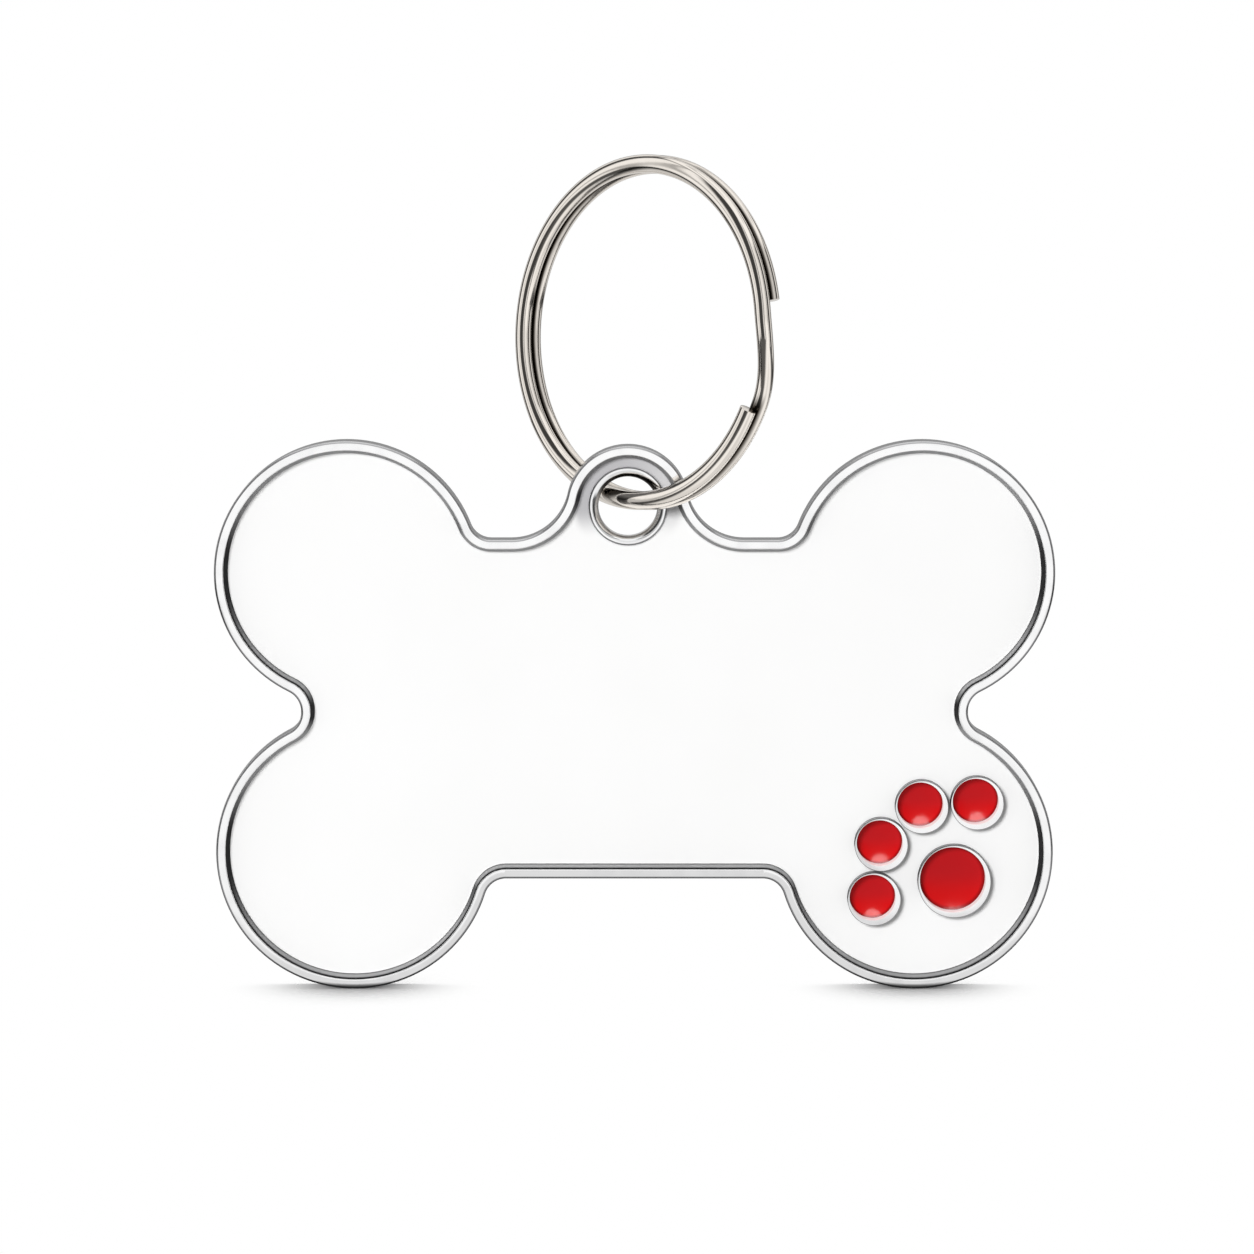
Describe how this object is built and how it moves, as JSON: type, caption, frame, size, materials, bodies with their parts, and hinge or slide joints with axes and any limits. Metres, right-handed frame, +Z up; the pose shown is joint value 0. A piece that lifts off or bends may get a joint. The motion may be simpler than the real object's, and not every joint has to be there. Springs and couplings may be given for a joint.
{
  "type": "pet id tag",
  "caption": "Flat bone-shaped pet tag with a raised polished border, white enamel face and red enamel paw print, hanging from a split ring that links it to a collar.",
  "frame": {"origin": "inside the top of the split ring, where the link of a collar bears", "axes": "+Z up, +X to the right across the tag's width, the tag's face towards -Y"},
  "size_m": [0.038, 0.0119, 0.0379],
  "materials": {
    "ring_wire": "polished nickel plate on flattened steel wire",
    "plated_casting": "polished bright plate on a die casting",
    "white_enamel": "glossy white enamel",
    "red_enamel": "glossy translucent red enamel"
  },
  "bodies": {
    "ring": {"split_ring": "ring_wire"},
    "tag": {"tag_body": "plated_casting", "field_enamel": "white_enamel", "pad_enamel": "red_enamel", "toe_enamel_1": "red_enamel", "toe_enamel_2": "red_enamel", "toe_enamel_3": "red_enamel", "toe_enamel_4": "red_enamel"}
  },
  "joints": [
    {"name": "tag_swing", "type": "hinge", "parent": "ring", "child": "tag", "pos_m": [-0.00154, 0, -0.01466], "axis": [0.7032, -0.7071, -0.0739], "range_deg": [-50, 50]}
  ]
}
